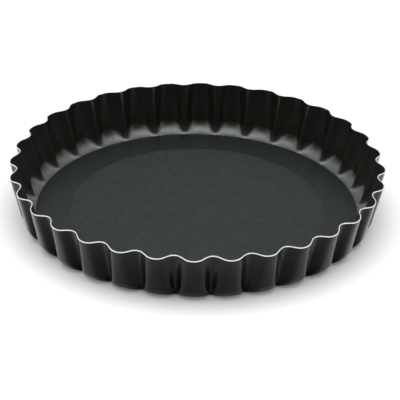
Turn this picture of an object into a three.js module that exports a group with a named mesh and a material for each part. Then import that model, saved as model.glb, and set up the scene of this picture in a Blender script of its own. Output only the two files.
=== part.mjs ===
// Fluted tart tin with a loose base: a fluted sheet ring with an inward ledge, and a disc resting on it.
// Millimetres, +Z up. The origin is on the table, under the middle of the tin.
import * as THREE from 'three';

// Fluted ring
const RIM_DIAMETER = 250;       // outside, across two opposite outward flutes
const HEIGHT = 34.8;            // table to rim, at the inward folds
const RIM_DIP = 1.0;            // how much lower the rim is at the outward flutes
const RING_SHEET = 0.6;         // sheet thickness, coating included
const WALL_LEAN = 14.4;         // degrees from upright, at the middle of the wave
const FLUTE_COUNT = 32;
const RIM_FLUTE_DEPTH = 5.3;    // outward flute to inward fold, at the rim
const FOOT_FLUTE_DEPTH = 6.4;   // the same, with the wall carried down to the ledge
const RIM_NARROWING = 0.15;     // 0 leaves the folds as wide as the flutes, 1 leaves wide flutes and narrow folds
const FOOT_NARROWING = 0.95;    // the same, at the ledge
const RIM_STEEPENING = 0.1;     // 0 leaves a plain wave, 0.5 squares it off between flute and fold
const FOLD_BEND_RADIUS = 2.6;   // inside radius of the bend at the foot of an inward fold
const LEDGE_WIDTH = 11.5;       // flat part of the ledge that carries the base

// Loose base
const BASE_SHEET = 0.5;
const SEAT_GAP = 0.3;           // between the ledge and the base
const EDGE_CLEARANCE = 0.3;     // from the base's edge to the start of the bends
const BORDER_WIDTH = 22.5;      // from the base's edge to the foot of the raised panel
const PANEL_RISE = 0.3;         // panel above the border
const PANEL_BEND_WIDTH = 1.2;   // radial width of the bend round the panel

// Facets
const STEPS_PER_FLUTE = 10;
const BEND_STEPS = 4;
const BASE_STEPS = 96;
const PANEL_BEND_STEPS = 4;

const COATING = { color: 0x2b2d2a, roughness: 0.38, metalness: 0.35 };
const BASE_COATING = { color: 0x3d423e, roughness: 0.5, metalness: 0.3 };

// Ring sizes that follow from the driving dimensions, on the middle of the sheet
const lean = THREE.MathUtils.degToRad(WALL_LEAN);
const ledgeMiddle = RING_SHEET / 2;
const wallRise = HEIGHT - ledgeMiddle;
const rimReach = RING_SHEET / (2 * Math.cos(lean)) - RIM_DIP * Math.tan(lean);
const rimMean = RIM_DIAMETER / 2 - RIM_FLUTE_DEPTH / 2 - rimReach;
const footMean = rimMean - wallRise * Math.tan(lean);
const foldAngle = Math.PI / FLUTE_COUNT;
const bendCircle = wallFoot(foldAngle) - bendReach(foldAngle, FOLD_BEND_RADIUS + RING_SHEET / 2);
const ledgeBore = bendCircle - LEDGE_WIDTH;

// How far the flutes move the wall outwards at an angle, for a depth from flute to fold
function flutes(angle, depth, narrowing, steepening = 0) {
  const turn = FLUTE_COUNT * angle;
  return (depth / 2) * Math.cos(turn - narrowing * Math.sin(turn) - steepening * Math.sin(2 * turn));
}

function wallFoot(angle) {
  return footMean + flutes(angle, FOOT_FLUTE_DEPTH, FOOT_NARROWING);
}

// Where the wall would meet the height of the folds
function wallTop(angle) {
  return rimMean + flutes(angle, RIM_FLUTE_DEPTH, RIM_NARROWING, RIM_STEEPENING);
}

// Angle through which the sheet turns from the flat ledge to the wall
function turnAt(angle) {
  return Math.atan2(wallRise, wallTop(angle) - wallFoot(angle));
}

// Length of ledge that a bend of this radius takes up, back from the wall's foot
function bendReach(angle, radius) {
  return radius * Math.tan(turnAt(angle) / 2);
}

// The bends all start on one circle, so the bend is wide under a flute and tight under a fold
function bendRadius(angle) {
  return (wallFoot(angle) - bendCircle) / Math.tan(turnAt(angle) / 2);
}

// Stations along the middle of the sheet, from the ledge's inner edge to the rim: radius, height, slope
function sheetLine(angle) {
  const turn = turnAt(angle);
  const radius = bendRadius(angle);
  const line = [{ r: ledgeBore, z: ledgeMiddle, slope: 0 }];
  for (let step = 0; step <= BEND_STEPS; step += 1) {
    const slope = (turn * step) / BEND_STEPS;
    const r = bendCircle + radius * Math.sin(slope);
    const z = ledgeMiddle + radius * (1 - Math.cos(slope));
    line.push({ r, z, slope });
  }
  const dip = RIM_DIP * Math.cos((FLUTE_COUNT * angle) / 2) ** 2;
  line.push({ r: wallTop(angle) - dip / Math.tan(turn), z: HEIGHT - dip, slope: turn });
  return line;
}

function onSheet(angle, station) {
  return new THREE.Vector3(station.r * Math.cos(angle), station.r * Math.sin(angle), station.z);
}

// Direction square to the sheet, towards the inside of the tin
function squareToSheet(angle, index) {
  const nudge = 1e-4;
  const ahead = onSheet(angle + nudge, sheetLine(angle + nudge)[index]);
  const behind = onSheet(angle - nudge, sheetLine(angle - nudge)[index]);
  const { slope } = sheetLine(angle)[index];
  const alongSection = new THREE.Vector3(
    Math.cos(slope) * Math.cos(angle),
    Math.cos(slope) * Math.sin(angle),
    Math.sin(slope),
  );
  return alongSection.cross(ahead.sub(behind)).normalize();
}

// Both faces of the sheet at one angle, as one closed outline: up the inside, over the rim, down the outside
function ringSection(angle) {
  const line = sheetLine(angle);
  const inside = [];
  const outside = [];
  line.forEach((station, index) => {
    const offset = squareToSheet(angle, index);
    if (index === line.length - 1) {
      // The rim is trimmed level across the sheet, so its offset lies flat and leaves the full sheet
      offset.setZ(0);
      offset.divideScalar(offset.lengthSq());
    }
    offset.multiplyScalar(RING_SHEET / 2);
    const middle = onSheet(angle, station);
    inside.push(middle.clone().add(offset));
    outside.unshift(middle.clone().sub(offset));
  });
  return [...inside, ...outside];
}

// Closed solid through a closed outline at each step round the axis
function loftRound(sectionAt, steps) {
  const sections = Array.from({ length: steps }, (_, step) => sectionAt((2 * Math.PI * step) / steps));
  const count = sections[0].length;
  const index = [];
  for (let step = 0; step < steps; step += 1) {
    const next = (step + 1) % steps;
    for (let point = 0; point < count; point += 1) {
      const after = (point + 1) % count;
      const a = step * count + point;
      const b = next * count + point;
      const c = next * count + after;
      const d = step * count + after;
      index.push(a, d, c, a, c, b);
    }
  }
  const geometry = new THREE.BufferGeometry().setFromPoints(sections.flat());
  geometry.setIndex(index);
  geometry.computeVertexNormals();
  return geometry;
}

// Base disc: a sheet that follows one line on both faces
const baseRadius = bendCircle - EDGE_CLEARANCE;
const panelFoot = baseRadius - BORDER_WIDTH;
const baseUnderside = RING_SHEET + SEAT_GAP;

function panelRise(share) {
  return (PANEL_RISE * (1 - Math.cos(Math.PI * share))) / 2;
}

function baseOutline() {
  const line = [new THREE.Vector2(baseRadius, 0)];
  for (let step = 0; step <= PANEL_BEND_STEPS; step += 1) {
    const share = step / PANEL_BEND_STEPS;
    line.push(new THREE.Vector2(panelFoot - PANEL_BEND_WIDTH * share, panelRise(share)));
  }
  line.push(new THREE.Vector2(0, PANEL_RISE));
  const lower = line.map(({ x, y }) => new THREE.Vector2(x, baseUnderside + y));
  const upper = line.map(({ x, y }) => new THREE.Vector2(x, baseUnderside + BASE_SHEET + y));
  return [...lower.reverse(), ...upper];
}

function makePiece(name, geometry, finish) {
  const piece = new THREE.Mesh(geometry, new THREE.MeshStandardMaterial(finish));
  piece.name = name;
  return piece;
}

const ringGeometry = loftRound(ringSection, FLUTE_COUNT * STEPS_PER_FLUTE);
const baseGeometry = new THREE.LatheGeometry(baseOutline(), BASE_STEPS);
baseGeometry.rotateX(Math.PI / 2);

const tin = new THREE.Group();
tin.add(makePiece('fluted_ring', ringGeometry, COATING));
tin.add(makePiece('loose_base', baseGeometry, BASE_COATING));

export default tin;
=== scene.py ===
import math

import bpy
import numpy as np
from mathutils import Matrix, Vector


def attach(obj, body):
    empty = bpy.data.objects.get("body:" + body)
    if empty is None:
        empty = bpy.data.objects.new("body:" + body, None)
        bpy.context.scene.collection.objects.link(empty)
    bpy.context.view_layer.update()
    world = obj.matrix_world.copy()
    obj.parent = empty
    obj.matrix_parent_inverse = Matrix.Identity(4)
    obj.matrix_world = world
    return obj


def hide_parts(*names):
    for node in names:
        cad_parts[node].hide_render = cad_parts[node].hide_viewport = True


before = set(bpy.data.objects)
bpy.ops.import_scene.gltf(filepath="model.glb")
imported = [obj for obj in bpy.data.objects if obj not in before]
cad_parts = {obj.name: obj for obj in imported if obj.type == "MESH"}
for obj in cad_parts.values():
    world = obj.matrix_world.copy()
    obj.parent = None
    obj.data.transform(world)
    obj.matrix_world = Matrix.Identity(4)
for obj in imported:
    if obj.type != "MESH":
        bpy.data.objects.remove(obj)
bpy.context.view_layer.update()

# Fluted ring
RIM_DIAMETER = 0.250            # outside, across two opposite outward flutes
HEIGHT = 0.0348                 # table to rim, at the inward folds
RIM_DIP = 0.0010                # how much lower the rim is at the outward flutes
RING_SHEET = 0.0006             # sheet thickness, coating included
WALL_LEAN = math.radians(14.4)  # from upright, at the middle of the wave
FLUTE_COUNT = 32
RIM_FLUTE_DEPTH = 0.0053        # outward flute to inward fold, at the rim
FOOT_FLUTE_DEPTH = 0.0064       # the same, with the wall carried down to the ledge
RIM_NARROWING = 0.15            # 0 leaves the folds as wide as the flutes, 1 wide flutes and narrow folds
FOOT_NARROWING = 0.95           # the same, at the ledge
RIM_STEEPENING = 0.1            # 0 leaves a plain wave, 0.5 squares it off between flute and fold
FOLD_BEND_RADIUS = 0.0026       # inside radius of the bend at the foot of an inward fold
LEDGE_WIDTH = 0.0115            # flat part of the ledge that carries the base
RIM_ROUND = 0.00012             # rounding of the rim's trimmed corners
LEDGE_ROUND = 0.0002            # rounding of the ledge's inner edge
BARE_OUTSIDE = 0.0005           # bare steel below the rim, outside
COATED_INSIDE = 0.00026         # top of the inside wall, below the rim
RIM_LAP = 0.25                  # share of the way over the rim that the inside coating laps

# Loose base
BASE_SHEET = 0.0005
SEAT_GAP = 0.0003               # between the ledge and the base
EDGE_CLEARANCE = 0.0003         # from the base's edge to the start of the bends
BORDER_WIDTH = 0.0225           # from the base's edge to the foot of the raised panel
PANEL_RISE = 0.00012            # panel above the border
PANEL_BEND_WIDTH = 0.0012       # radial width of the bend round the panel
BASE_ROUND = 0.0002             # rounding of the base's cut edge

# Mesh steps
STEPS_PER_FLUTE = 40
LEDGE_STEPS = 3
BEND_STEPS = 14
WALL_STEPS = 8
CAP_STEPS = 8
BASE_STEPS = 384
BORDER_STEPS = 5
PANEL_BEND_STEPS = 10
PANEL_STEPS = 14
RIM_CROWDING = 2                # 1 spaces the steps up the wall evenly, more crowds them towards the rim
EDGE_FULLNESS = 0.5             # 1 rounds a cut edge to a half oval, less leaves it squarer
NUDGE = 1e-4                    # small turn, in radians, that gives the sheet's direction round the tin

# Camera, as the photograph was taken
CAMERA_AIM_HEIGHT = 0.0340              # above the table, over the middle of the tin
CAMERA_DISTANCE = 1.414                 # from that point
CAMERA_HEIGHT_ANGLE = math.radians(28.21)
CAMERA_SIDE_ANGLE = math.radians(0.65)  # round the tin, from straight in front
CAMERA_ROLL = math.radians(1.06)
CAMERA_LENS = 191.6                     # millimetres, on the sensor below
SENSOR_WIDTH = 36.0
IMAGE_SIZE = 400                        # pixels
AIM_IN_IMAGE = (-2.45, 34.94)           # pixels right of and above the middle of the image

# Studio
FLOOR_HALF = 6.0
FLOOR_DROP = 0.00005                    # keeps the floor clear of the tin's underside
FLOOR_WHITE = 0.97
FLOOR_GLOW = 0.06                       # added to the floor where the camera or a reflection sees it
TENT_LIGHT = 0.7705                     # sides of the white tent round the tin
OVERHEAD_LIGHT = 2.0125                 # what the tent's roof adds
LEFT_LIGHT = 0.16                       # how much brighter the left side is than the middle
LOW_RIGHT_LIGHT = 0.5                   # how much brighter the right side is low down
FAR_LIGHT = 0.25                        # darker wall on the far side
LOW_NEAR_LIGHT = 0.012                  # low down on the camera's side

# Where those parts of the tent begin and end, along each axis of a direction of length 1
ROOF_UP = (0.78, 0.97)
RIGHT_ACROSS = (0.2, 0.8)
RIGHT_UP = (0.0, 0.6)
FAR_AWAY = (0.62, 0.9)
NEAR_TOWARDS = (0.54, 0.9)
NEAR_UP = (0.05, 0.65)


class Signal:
    """A socket in a finish. Arithmetic on it adds Math nodes."""

    def __init__(self, finish, socket):
        self.finish = finish
        self.socket = socket

    def __add__(self, other):
        return self.finish.math("ADD", self, other)

    def __radd__(self, other):
        return self.finish.math("ADD", other, self)

    def __sub__(self, other):
        return self.finish.math("SUBTRACT", self, other)

    def __rsub__(self, other):
        return self.finish.math("SUBTRACT", other, self)

    def __mul__(self, other):
        return self.finish.math("MULTIPLY", self, other)

    def __rmul__(self, other):
        return self.finish.math("MULTIPLY", other, self)


class Finish:
    """The shader nodes of a material or of the world."""

    def __init__(self, owner):
        owner.use_nodes = True
        self.tree = owner.node_tree
        self.tree.nodes.clear()

    def node(self, kind, settings=None, sockets=None, output=0):
        """Adds a node: its settings first, then the value or link of each socket. Gives one output."""
        made = self.tree.nodes.new("ShaderNode" + kind)
        for name, setting in (settings or {}).items():
            setattr(made, name, setting)
        for name, value in (sockets or {}).items():
            if isinstance(value, Signal):
                self.tree.links.new(value.socket, made.inputs[name])
            else:
                made.inputs[name].default_value = value
        return Signal(self, made.outputs[output]) if made.outputs else None

    def math(self, operation, *values):
        return self.node("Math", {"operation": operation}, dict(enumerate(values)))

    def place(self):
        """Where on the piece, in its own coordinates."""
        return self.node("TexCoord", output="Object")

    def along(self, axis, vector):
        return self.node("SeparateXYZ", None, {0: vector}, axis)

    def noise(self, place, size, detail=2.0):
        """Soft random values round 0.5, with features of about this size."""
        return self.node("TexNoise", None, {"Vector": place, "Scale": 1 / size, "Detail": detail}, "Fac")

    def step(self, value, start, end):
        """0 below start, 1 above end, smooth between."""
        sockets = {"Value": value, "From Min": start, "From Max": end}
        return self.node("MapRange", {"interpolation_type": "SMOOTHSTEP"}, sockets)

    def blend(self, factor, first, second):
        """One colour to another. The node's sockets for colours are 6 and 7, and its colour output is 2."""
        return self.node("Mix", {"data_type": "RGBA"}, {0: factor, 6: first, 7: second}, 2)


def grey(level, tint=(1.0, 1.0, 1.0)):
    return (level * tint[0], level * tint[1], level * tint[2], 1.0)


# Sizes that follow from the driving dimensions, on the middle of each sheet
def flutes(angle, depth, narrowing, steepening=0):
    """How far the flutes move the wall outwards at an angle, for a depth from flute to fold."""
    turn = FLUTE_COUNT * angle
    return depth / 2 * np.cos(turn - narrowing * np.sin(turn) - steepening * np.sin(2 * turn))


ledge_middle = RING_SHEET / 2
wall_rise = HEIGHT - ledge_middle
rim_reach = RING_SHEET / (2 * math.cos(WALL_LEAN)) - RIM_DIP * math.tan(WALL_LEAN)
rim_mean = RIM_DIAMETER / 2 - RIM_FLUTE_DEPTH / 2 - rim_reach
foot_mean = rim_mean - wall_rise * math.tan(WALL_LEAN)


def wall_foot(angle):
    """Radius of the wall, carried down to the ledge."""
    return foot_mean + flutes(angle, FOOT_FLUTE_DEPTH, FOOT_NARROWING)


def wall_top(angle):
    """Radius of the wall, carried up to the height of the folds."""
    return rim_mean + flutes(angle, RIM_FLUTE_DEPTH, RIM_NARROWING, RIM_STEEPENING)


def turn_at(angle):
    """Angle through which the sheet turns from the flat ledge to the wall."""
    return np.arctan2(wall_rise, wall_top(angle) - wall_foot(angle))


fold_angle = math.pi / FLUTE_COUNT
fold_bend_reach = (FOLD_BEND_RADIUS + RING_SHEET / 2) * math.tan(turn_at(fold_angle) / 2)
bend_circle = wall_foot(fold_angle) - fold_bend_reach
ledge_bore = bend_circle - LEDGE_WIDTH
base_radius = bend_circle - EDGE_CLEARANCE
base_flat = base_radius - BASE_ROUND
panel_foot = base_radius - BORDER_WIDTH
panel_start = panel_foot - PANEL_BEND_WIDTH
base_middle = RING_SHEET + SEAT_GAP + BASE_SHEET / 2


# Places on the ring's sheet: each gives radius, height and slope for any angle
def on_ledge(share):
    """On the flat ledge, from its inner edge to the bend."""
    start = ledge_bore + LEDGE_ROUND
    return lambda angle: (start + (bend_circle - start) * share, ledge_middle, 0.0)


def on_bend(share):
    """On the bend. The bends all start on one circle: wide under a flute, tight under a fold."""

    def place(angle):
        slope = turn_at(angle) * share
        radius = (wall_foot(angle) - bend_circle) / np.tan(turn_at(angle) / 2)
        return bend_circle + radius * np.sin(slope), ledge_middle + radius * (1 - np.cos(slope)), slope

    return place


def on_wall(share, below_rim):
    """On the wall, from the bend to the stated distance below the rim."""

    def place(angle):
        foot_radius, foot_height, slope = on_bend(1)(angle)
        below = below_rim + RIM_DIP * np.cos(FLUTE_COUNT * angle / 2) ** 2
        top_height = HEIGHT - below
        top_radius = wall_top(angle) - below / np.tan(slope)
        radius = foot_radius + (top_radius - foot_radius) * share
        return radius, foot_height + (top_height - foot_height) * share, slope

    return place


def all_round(steps):
    """Even angles, once round the tin."""
    return np.arange(steps) * (2 * math.pi / steps)


def round_points(angle, radius, height):
    return np.stack([radius * np.cos(angle), radius * np.sin(angle), height + 0 * angle], axis=-1)


def sheet_points(angle, place):
    radius, height, _ = place(angle)
    return round_points(angle, radius, height)


def square_to_sheet(angle, place):
    """Direction square to the sheet, towards the inside of the tin."""
    along_round = sheet_points(angle + NUDGE, place) - sheet_points(angle - NUDGE, place)
    slope = place(angle)[2]
    along_section = round_points(angle, np.cos(slope), np.sin(slope))
    across = np.cross(along_section, along_round)
    return across / np.linalg.norm(across, axis=-1, keepdims=True)


def rounded_end(half_thickness, rounding):
    """A sheet's rounded cut edge, from one face to the other: place across the sheet, and how far out."""
    for step in range(CAP_STEPS + 1):
        turn = math.pi * step / CAP_STEPS
        across = math.copysign(abs(math.cos(turn)) ** EDGE_FULLNESS, math.cos(turn))
        yield half_thickness * across, rounding * abs(math.sin(turn)) ** EDGE_FULLNESS


def ring_outline(angle):
    """The sheet's section at every angle, as one closed line: up the inside, over the rim, down the outside.

    Also gives how many points lie on the inside, and how many over the rim.
    """
    ledge = [on_ledge(step / LEDGE_STEPS) for step in range(LEDGE_STEPS)]
    bend = [on_bend(step / BEND_STEPS) for step in range(BEND_STEPS)]
    shares = [1 - (1 - step / WALL_STEPS) ** RIM_CROWDING for step in range(WALL_STEPS + 1)]
    inside_wall = [on_wall(share, COATED_INSIDE) for share in shares]
    outside_wall = [on_wall(share, BARE_OUTSIDE) for share in shares]
    half = RING_SHEET / 2
    inside = [
        sheet_points(angle, place) + half * square_to_sheet(angle, place)
        for place in ledge + bend + inside_wall
    ]
    outside = [
        sheet_points(angle, place) - half * square_to_sheet(angle, place)
        for place in ledge + bend + outside_wall
    ]

    # The rim is trimmed level, so its offset lies flat and still leaves the full sheet
    rim = on_wall(1, RIM_ROUND)
    level = square_to_sheet(angle, rim) * (1, 1, 0)
    level /= np.sum(level**2, axis=-1, keepdims=True)
    upwards = np.array([0, 0, 1.0])
    over_rim = [
        sheet_points(angle, rim) + across * level + out * upwards
        for across, out in rounded_end(half, RIM_ROUND)
    ]

    inwards = round_points(angle, -1, 0)
    ledge_edge = [
        sheet_points(angle, on_ledge(0)) - across * upwards + out * inwards
        for across, out in rounded_end(half, LEDGE_ROUND)
    ]
    outline = inside + over_rim + outside[:0:-1] + ledge_edge[:-1]
    return outline, len(inside), len(over_rim)


# Pieces
def make_piece(name, points, faces, finishes, face_finish=None):
    """A smooth mesh. face_finish gives the number of each face's finish."""
    mesh = bpy.data.meshes.new(name)
    mesh.from_pydata(points.tolist(), [], faces)
    for finish in finishes:
        mesh.materials.append(finish)
    if face_finish is not None:
        mesh.polygons.foreach_set("material_index", face_finish)
    mesh.shade_smooth()
    piece = bpy.data.objects.new(name, mesh)
    bpy.context.scene.collection.objects.link(piece)
    return piece


def faces_round(row, next_row, steps):
    """Faces all the way round the tin, between two rows of points."""
    for step in range(steps):
        following = (step + 1) % steps
        yield (
            row * steps + step,
            next_row * steps + step,
            next_row * steps + following,
            row * steps + following,
        )


def make_ring(inside_finish, outside_finish, rim_finish):
    """The fluted wall, its bend and its ledge, in one sheet."""
    steps = FLUTE_COUNT * STEPS_PER_FLUTE
    outline, inside_count, rim_count = ring_outline(all_round(steps))
    count = len(outline)
    bare_from = inside_count + int(RIM_LAP * rim_count)
    bare_to = inside_count + rim_count
    inside, outside, rim = range(3)
    faces = []
    face_finish = []
    for row in range(count):
        faces.extend(faces_round(row, (row + 1) % count, steps))
        if row < bare_from:
            finish = inside
        elif row < bare_to:
            finish = rim
        else:
            finish = outside
        face_finish.extend([finish] * steps)
    finishes = [inside_finish, outside_finish, rim_finish]
    return make_piece("fluted_ring_sheet", np.concatenate(outline), faces, finishes, face_finish)


def panel_height(share):
    return PANEL_RISE * (1 - math.cos(math.pi * share)) / 2


def base_line():
    """The base's sheet from its edge to its middle: radius, and height above the border."""
    for step in range(BORDER_STEPS):
        yield base_flat + (panel_foot - base_flat) * step / BORDER_STEPS, 0.0
    for step in range(PANEL_BEND_STEPS):
        share = step / PANEL_BEND_STEPS
        yield panel_foot - PANEL_BEND_WIDTH * share, panel_height(share)
    for step in range(PANEL_STEPS):
        yield panel_start * (1 - step / PANEL_STEPS), PANEL_RISE


def make_base(border_finish, panel_finish, underside_finish):
    """The disc, with its rounded edge and its raised panel."""
    line = list(base_line())
    half = BASE_SHEET / 2
    lower = [(radius, base_middle + height - half) for radius, height in reversed(line)]
    edge = [(base_flat + out, base_middle - across) for across, out in rounded_end(half, BASE_ROUND)]
    upper = [(radius, base_middle + height + half) for radius, height in line]
    outline = lower[:-1] + edge + upper[1:]
    angle = all_round(BASE_STEPS)
    rows = [round_points(angle, radius, height) for radius, height in outline]
    middles = np.array([[0, 0, lower[0][1]], [0, 0, upper[-1][1]]])
    border_from = len(lower) - 1
    panel_from = len(outline) - PANEL_STEPS - PANEL_BEND_STEPS
    border, panel, underside = range(3)
    faces = []
    face_finish = []
    for row in range(len(outline) - 1):
        faces.extend(faces_round(row + 1, row, BASE_STEPS))
        if row < border_from:
            finish = underside
        elif row < panel_from:
            finish = border
        else:
            finish = panel
        face_finish.extend([finish] * BASE_STEPS)

    # The two middles are closed with triangles
    last_row = (len(outline) - 1) * BASE_STEPS
    lower_middle = len(outline) * BASE_STEPS
    upper_middle = lower_middle + 1
    for step in range(BASE_STEPS):
        following = (step + 1) % BASE_STEPS
        faces.append((lower_middle, following, step))
        faces.append((upper_middle, last_row + step, last_row + following))
        face_finish.extend([underside, panel])
    finishes = [border_finish, panel_finish, underside_finish]
    return make_piece("loose_base_sheet", np.concatenate(rows + [middles]), faces, finishes, face_finish)


# Colours of the finishes
INNER_TINT = (1.08, 1.0, 0.82)
INNER_DARK = grey(0.0078, INNER_TINT)
INNER_LIGHT = grey(0.0100, INNER_TINT)
INNER_DULL = grey(0.012, INNER_TINT)
OUTER_TINT = (1.0, 1.0, 0.90)
OUTER_DARK = grey(0.0105, OUTER_TINT)
OUTER_LIGHT = grey(0.0135, OUTER_TINT)
# Painted shade: the dark that the lacquer turns to towards the foot and under the base, in place of the dark
# reflections and shade low on the wall
PAINTED_FOOT_SHADE = grey(0.0032, (1.0, 1.0, 0.95))
BORDER_TINT = (0.96, 1.08, 0.98)
BORDER_DARK = grey(0.004, BORDER_TINT)
BORDER_LIGHT = grey(0.007, BORDER_TINT)
PANEL_TINT = (0.94, 1.12, 0.97)
PANEL_DARK = grey(0.0186, PANEL_TINT)
PANEL_LIGHT = grey(0.0250, PANEL_TINT)
STEEL_DARK = grey(0.80)
STEEL_LIGHT = grey(0.92)
WHITE = grey(1.0)

# Gloss, the same all over each finish
GREENISH = grey(1.0, (0.84, 1.0, 0.87))
INNER_GLOSS = {"IOR": 1.72, "Specular Tint": GREENISH, "Coat IOR": 2.0, "Coat Roughness": 0.5}
OUTER_GLOSS = {
    "IOR": 1.5,
    "Specular Tint": grey(0.02),
    "Coat Weight": 1.0,
    "Coat IOR": 1.12,
    "Coat Roughness": 0.16,
    "Coat Tint": grey(1.0, (0.94, 1.0, 0.96)),
}
BORDER_GLOSS = {"IOR": 1.64, "Specular Tint": GREENISH}
PANEL_GLOSS = {"IOR": 1.4, "Specular Tint": grey(1.0, (0.86, 1.0, 0.88))}
STEEL_GLOSS = {"Metallic": 1.0}

# Roughness: the least, then what each grain adds
INNER_ROUGHNESS = (0.14, 0.03, 0.02, 0.35)  # clouds, grit, stretched coating
OUTER_ROUGHNESS = (0.15, 0.04, 0.03)        # clouds, grit
BORDER_ROUGHNESS = (0.31, 0.05, 0.03)       # clouds, pebbles
PANEL_ROUGHNESS = (0.40, 0.08, 0.06)        # clouds, grit
STEEL_ROUGHNESS = (0.42, 0.14)              # scratches

# Size of each grain
RING_CLOUDS = 0.016
BASE_CLOUDS = 0.020
STEEL_CLOUDS = 0.004
POCKET_MOTTLE = 0.003
BASE_MOTTLE = 0.0035
PEEL = 0.0012                   # orange peel of a sprayed coating
PEBBLES = 0.0009
GRIT = 0.0004
SCRATCHES = 0.0002
CLOUD_DETAIL = 3.0              # how much finer change there is within a cloud
MOTTLE_RANGE = (0.3, 0.7)       # random values below and above which the mottling is flat

# Depth of the fine relief
RING_RELIEF = 0.000008
BORDER_RELIEF = 0.00001
PANEL_RELIEF = 0.00003
STEEL_RELIEF = 0.00001
GRIT_ON_PEEL = 0.35             # depth of the grit, as a share of what it lies on
GRIT_ON_PEBBLES = 0.4

# Inside the ring, by height: the coating is stretched and pale at the foot, and dulled a little above it
STRETCHED_END = (0.0010, 0.0085)
STRETCHED_WEIGHT = (0.70, 0.30)     # how pale: the least, then what the mottling adds
FLUTE_DULL = 0.85                   # how dull in the middle of a flute
FLUTE_DULL_START = (0.0018, 0.0066)
FLUTE_DULL_WAVE = (-0.2, 1.0)       # on the wave round the ring: -1 in a fold, 1 in a flute
FOLD_DULL = 0.5                     # how dull in the middle of a fold
FOLD_DULL_START = (0.0013, 0.0026)
FOLD_DULL_WAVE = (0.6, 0.95)        # on the same wave, turned over
INNER_DULL_END = (0.010, 0.018)

# Outside the ring, by height: painted shade darkens the lacquer towards the foot, and a matt painted shade
# covers the foot, in place of the dark reflections and shade low on the wall
PAINTED_SHADE_END = (0.022, 0.038)
MATT_SHADE_SHARE = 0.85
MATT_SHADE_END = (0.003, 0.013)
CLOUD_LIFT = 0.006                  # how far the clouds move these heights


def new_material(name):
    material = bpy.data.materials.new(name)
    return material, Finish(material)


def layers(amounts, *grains):
    """The first amount, and each grain times its own amount."""
    total, *shares = amounts
    for share, grain in zip(shares, grains):
        total = total + share * grain
    return total


def finish_surface(finish, colour, roughness, height, depth, gloss, dulling=None):
    """The shader itself, with its colour, roughness and fine relief. Dulling is a share and a matt colour."""
    relief = finish.node("Bump", None, {"Strength": 1.0, "Distance": depth, "Height": height}, "Normal")
    sockets = {"Base Color": colour, "Roughness": roughness, "Normal": relief, **gloss}
    surface = finish.node("BsdfPrincipled", None, sockets)
    if dulling:
        share, matt_colour = dulling
        matt = finish.node("BsdfDiffuse", None, {"Color": matt_colour, "Normal": relief})
        surface = finish.node("MixShader", None, {0: share, 1: surface, 2: matt})
    finish.node("OutputMaterial", None, {"Surface": surface})


def ring_grain(finish, place):
    """Clouds, grit and relief of a coating sprayed on the ring."""
    clouds = finish.noise(place, RING_CLOUDS, CLOUD_DETAIL)
    peel = finish.noise(place, PEEL)
    grit = finish.noise(place, GRIT)
    return clouds, grit, peel + GRIT_ON_PEEL * grit


def base_grain(finish, place):
    """Clouds, mottling and pebbles of the coating on the base."""
    clouds = finish.noise(place, BASE_CLOUDS, CLOUD_DETAIL)
    mottle = finish.step(finish.noise(place, BASE_MOTTLE), *MOTTLE_RANGE)
    pebbles = finish.noise(place, PEBBLES)
    return clouds, mottle, pebbles


def inner_coating():
    """Baked non-stick coating inside the ring: dark and glossy, with a faint orange peel.

    It is pale and rough where the sheet is stretched in the pockets at the foot, and dulled above them in the
    middle of each flute and fold.
    """
    material, finish = new_material("inner_coating")
    place = finish.place()
    clouds, grit, relief = ring_grain(finish, place)
    mottle = finish.step(finish.noise(place, POCKET_MOTTLE, CLOUD_DETAIL), *MOTTLE_RANGE)
    height = finish.along("Z", place)
    turn = FLUTE_COUNT * finish.math("ARCTAN2", finish.along("Y", place), finish.along("X", place))
    wave = finish.math("COSINE", turn)
    mid_flute = finish.step(wave, *FLUTE_DULL_WAVE) * finish.step(height, *FLUTE_DULL_START)
    mid_fold = finish.step(-1 * wave, *FOLD_DULL_WAVE) * finish.step(height, *FOLD_DULL_START)
    low = 1 - finish.step(height, *INNER_DULL_END)
    dulled = (FLUTE_DULL * mid_flute + FOLD_DULL * mid_fold) * low
    stretched = 1 - finish.step(height, *STRETCHED_END)
    colour = finish.blend(clouds, INNER_DARK, INNER_LIGHT)
    roughness = layers(INNER_ROUGHNESS, clouds, grit, stretched)
    gloss = {**INNER_GLOSS, "Coat Weight": stretched * layers(STRETCHED_WEIGHT, mottle)}
    finish_surface(finish, colour, roughness, relief, RING_RELIEF, gloss, (dulled, INNER_DULL))
    return material


def outer_coating():
    """Thin dark lacquer outside the ring and under the base, with painted shade: darker towards the foot, and
    matt and dark at the foot and under the base.
    """
    material, finish = new_material("outer_coating")
    place = finish.place()
    clouds, grit, relief = ring_grain(finish, place)
    height = finish.along("Z", place) + CLOUD_LIFT * clouds
    # Painted shade: the colour goes dark towards the foot, and matt and dark at the foot, in place of the
    # dark reflections and shade low on the wall
    painted_shade = 1 - finish.step(height, *PAINTED_SHADE_END)
    dulled = MATT_SHADE_SHARE * (1 - finish.step(height, *MATT_SHADE_END))
    colour = finish.blend(painted_shade, finish.blend(clouds, OUTER_DARK, OUTER_LIGHT), PAINTED_FOOT_SHADE)
    roughness = layers(OUTER_ROUGHNESS, clouds, grit)
    finish_surface(finish, colour, roughness, relief, RING_RELIEF, OUTER_GLOSS, (dulled, PAINTED_FOOT_SHADE))
    return material


def border_coating():
    """The coating on the base's border: satin."""
    material, finish = new_material("border_coating")
    clouds, mottle, pebbles = base_grain(finish, finish.place())
    colour = finish.blend(mottle, BORDER_DARK, BORDER_LIGHT)
    roughness = layers(BORDER_ROUGHNESS, clouds, pebbles)
    finish_surface(finish, colour, roughness, pebbles, BORDER_RELIEF, BORDER_GLOSS)
    return material


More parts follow.
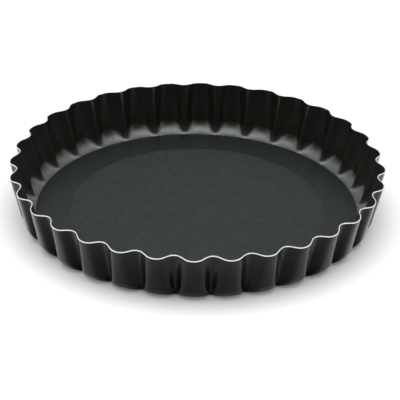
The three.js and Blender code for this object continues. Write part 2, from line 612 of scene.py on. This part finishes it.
def panel_coating():
    """The coating on the base's panel: matt and pebbled."""
    material, finish = new_material("panel_coating")
    place = finish.place()
    clouds, mottle, pebbles = base_grain(finish, place)
    grit = finish.noise(place, GRIT)
    colour = finish.blend(mottle, PANEL_DARK, PANEL_LIGHT)
    roughness = layers(PANEL_ROUGHNESS, clouds, grit)
    relief = pebbles + GRIT_ON_PEBBLES * grit
    finish_surface(finish, colour, roughness, relief, PANEL_RELIEF, PANEL_GLOSS)
    return material


def bare_steel():
    """The rim's trimmed edge, left bare by the cut."""
    material, finish = new_material("bare_steel")
    place = finish.place()
    clouds = finish.noise(place, STEEL_CLOUDS, CLOUD_DETAIL)
    scratches = finish.noise(place, SCRATCHES)
    colour = finish.blend(clouds, STEEL_DARK, STEEL_LIGHT)
    roughness = layers(STEEL_ROUGHNESS, scratches)
    finish_surface(finish, colour, roughness, scratches, STEEL_RELIEF, STEEL_GLOSS)
    return material


def white_floor():
    """Matt white, with a faint glow where it is seen, so that it goes white away from the shadow."""
    material, finish = new_material("white_floor")
    seen = finish.node("LightPath", output="Is Camera Ray")
    for ray in ("Is Glossy Ray", "Is Transmission Ray"):
        seen = finish.math("MAXIMUM", seen, finish.node("LightPath", output=ray))
    paint = finish.node("BsdfDiffuse", None, {"Color": grey(FLOOR_WHITE)})
    glow = finish.node("Emission", None, {"Color": WHITE, "Strength": FLOOR_GLOW * seen})
    lit = finish.node("AddShader", None, {0: paint, 1: glow})
    finish.node("OutputMaterial", None, {"Surface": lit})
    return material


# Studio
def make_floor():
    sides = (-FLOOR_HALF, FLOOR_HALF)
    corners = np.array([[x, y, -FLOOR_DROP] for x in sides for y in sides])
    return make_piece("floor", corners, [(0, 2, 3, 1)], [white_floor()])


def light_studio():
    """A white tent round the tin, brighter overhead, darker on the far side and low down near the camera."""
    world = bpy.data.worlds.new("studio")
    bpy.context.scene.world = world
    finish = Finish(world)
    direction = finish.node("TexCoord", output="Generated")
    right, away, up = (finish.along(axis, direction) for axis in "XYZ")
    roof = finish.step(up, *ROOF_UP)
    low_right = finish.step(right, *RIGHT_ACROSS) * (1 - finish.step(up, *RIGHT_UP))
    far = finish.step(away, *FAR_AWAY)
    low_near = finish.step(-1 * away, *NEAR_TOWARDS) * (1 - finish.step(up, *NEAR_UP))
    sideways = 1 - LEFT_LIGHT * right + LOW_RIGHT_LIGHT * low_right
    strength = (TENT_LIGHT + OVERHEAD_LIGHT * roof) * sideways
    strength = strength + (FAR_LIGHT - strength) * far
    strength = strength + (LOW_NEAR_LIGHT - strength) * low_near
    tent = finish.node("Background", None, {"Color": WHITE, "Strength": strength})
    finish.node("OutputWorld", None, {"Surface": tent})


def make_camera():
    """Looks at the aim point, then turns until that point lies where it belongs in the image."""
    aim = Vector((0, 0, CAMERA_AIM_HEIGHT))
    level = math.cos(CAMERA_HEIGHT_ANGLE)
    back = Vector(
        (
            level * math.sin(CAMERA_SIDE_ANGLE),
            -level * math.cos(CAMERA_SIDE_ANGLE),
            math.sin(CAMERA_HEIGHT_ANGLE),
        )
    )
    camera = bpy.data.cameras.new("camera")
    camera.lens = CAMERA_LENS
    camera.sensor_width = SENSOR_WIDTH
    focal_pixels = CAMERA_LENS / SENSOR_WIDTH * IMAGE_SIZE
    right, above = AIM_IN_IMAGE
    straight = (-back).to_track_quat("-Z", "Y").to_matrix().to_4x4()
    rolled = Matrix.Rotation(CAMERA_ROLL, 4, "Z")
    pitched = Matrix.Rotation(-math.atan(above / focal_pixels), 4, "X")
    turned = Matrix.Rotation(math.atan(right / focal_pixels), 4, "Y")
    where = Matrix.Translation(aim + back * CAMERA_DISTANCE)
    holder = bpy.data.objects.new("camera", camera)
    holder.matrix_world = where @ straight @ rolled @ pitched @ turned
    bpy.context.scene.collection.objects.link(holder)
    bpy.context.scene.camera = holder


make_camera()
light_studio()
make_floor()

lacquer = outer_coating()
ring = make_ring(inner_coating(), lacquer, bare_steel())
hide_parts("fluted_ring")
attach(ring, "ring")

base = make_base(border_coating(), panel_coating(), lacquer)
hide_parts("loose_base")
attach(base, "base")

bpy.context.scene.view_settings.view_transform = "Standard"
